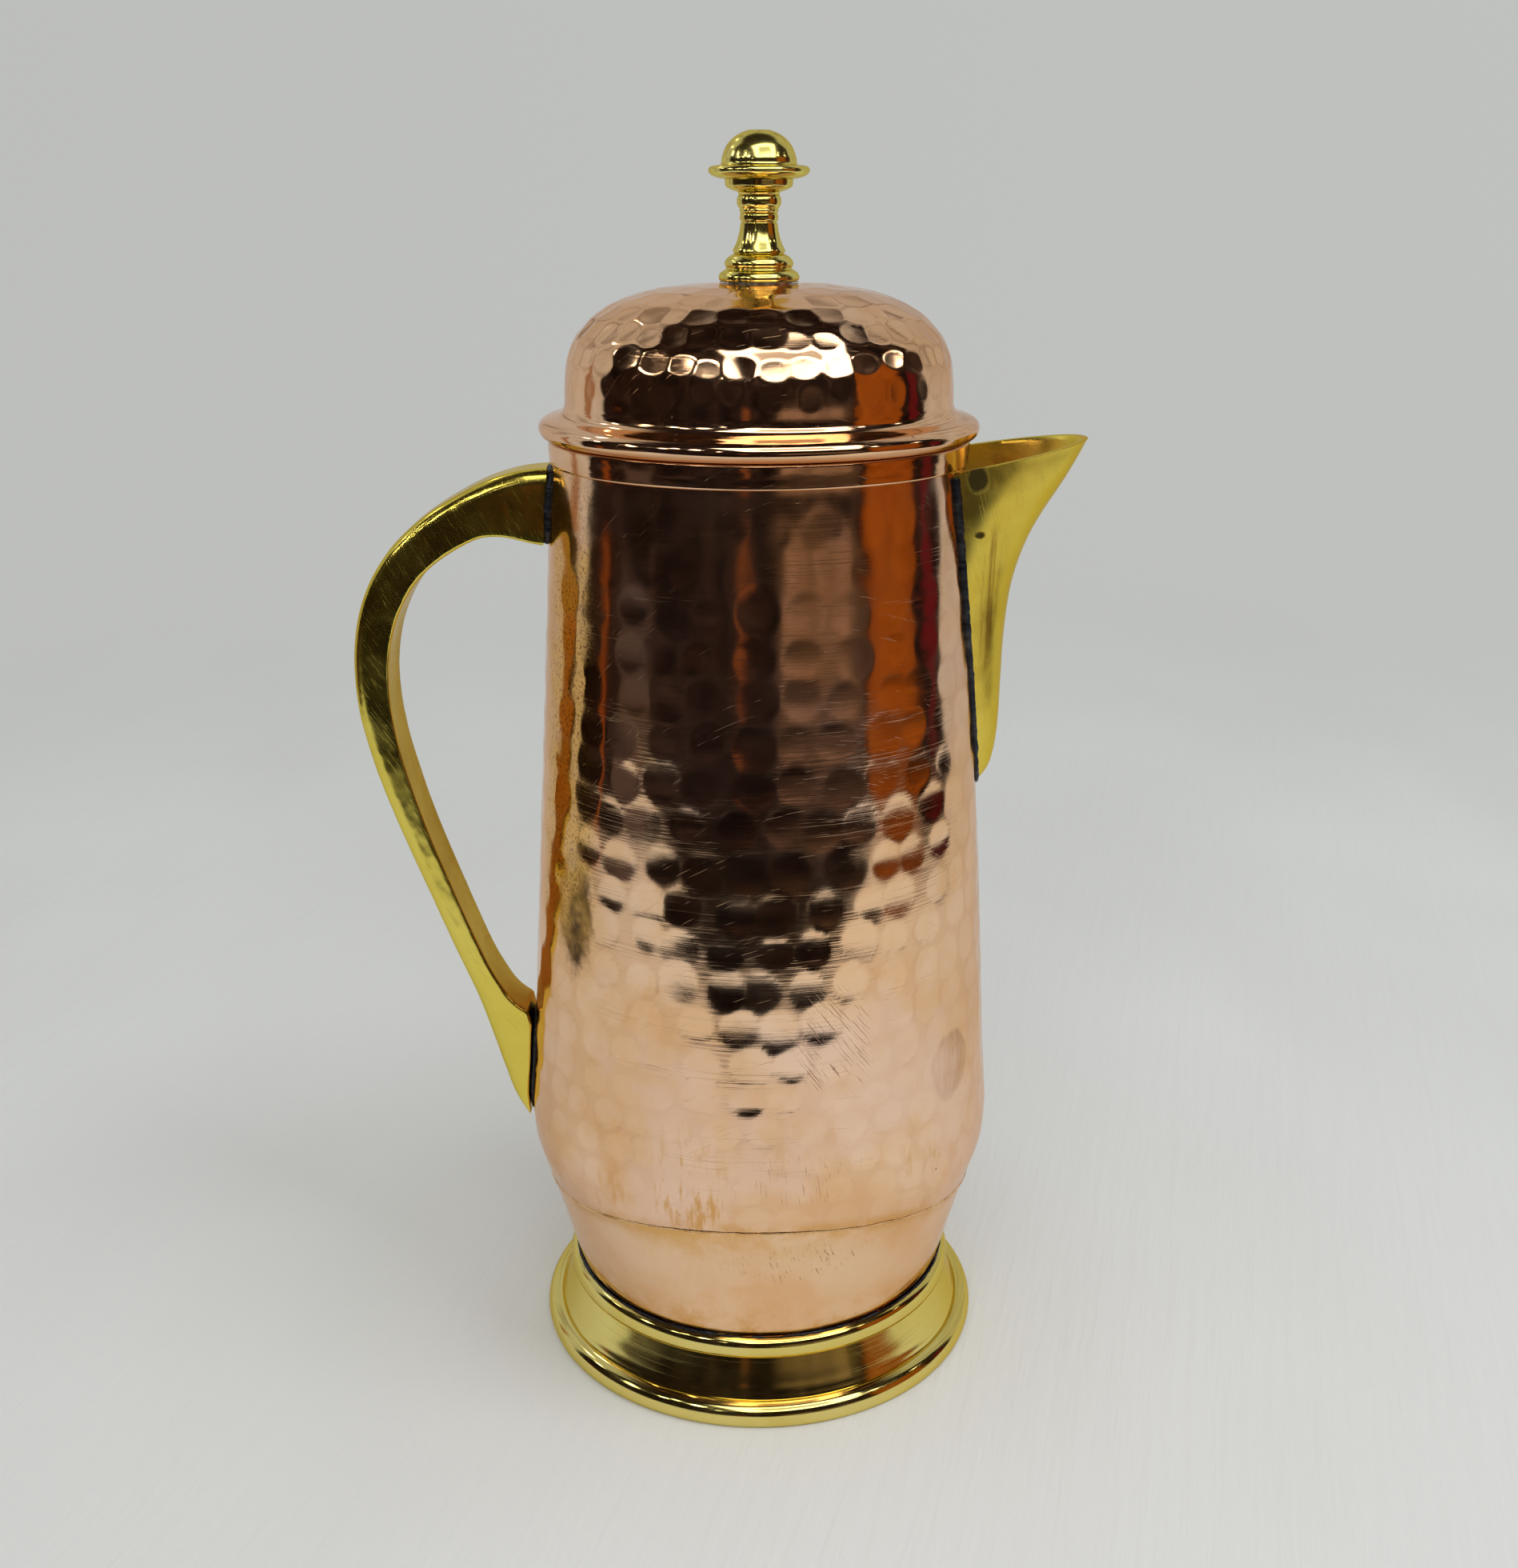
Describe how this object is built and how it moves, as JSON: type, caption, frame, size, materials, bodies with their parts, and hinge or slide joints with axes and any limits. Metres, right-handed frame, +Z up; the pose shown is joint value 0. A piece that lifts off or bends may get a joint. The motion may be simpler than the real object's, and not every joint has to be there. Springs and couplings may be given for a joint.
{
  "type": "water jug",
  "caption": "Hammered copper water jug on a spun brass foot, with a cast brass handle, an open brass spout and a lift-off domed lid with a turned brass finial.",
  "frame": {"origin": "centre of the foot's resting ring, on the jug's turning axis, at table level", "axes": "+Z up along the turning axis; +X towards the spout, -X towards the handle; +Y completes the right-handed frame"},
  "size_m": [0.1771, 0.12, 0.305],
  "materials": {
    "copper_hammered": "hammered copper sheet, polished, light tarnish",
    "copper_smooth": "planished copper sheet, polished",
    "brass_spun": "spun brass, polished",
    "brass_cast": "cast brass, filed and polished",
    "brass_turned": "turned brass, bright polished",
    "brazing": "brazing spelter, stained",
    "solder_dark": "heat-blackened solder, satin",
    "steel_plated": "plated steel"
  },
  "bodies": {
    "jug": {"body_shell": "copper_hammered", "bottom_cup": "copper_smooth", "seam_braze": "brazing", "mouth_band": "copper_smooth", "foot_ring": "brass_spun", "foot_solder": "solder_dark", "spout": "brass_spun", "spout_solder": "solder_dark", "handle": "brass_cast", "handle_upper_solder": "solder_dark", "handle_lower_solder": "solder_dark"},
    "lid": {"lid_dome": "copper_hammered", "lid_sleeve": "copper_smooth", "finial": "brass_turned", "finial_washer": "steel_plated", "screw_washer": "steel_plated", "finial_screw": "steel_plated"}
  },
  "joints": [
    {"name": "lid_lift", "type": "slide", "parent": "jug", "child": "lid", "axis": [0, 0, 1], "range_m": [0, 0.07]}
  ]
}
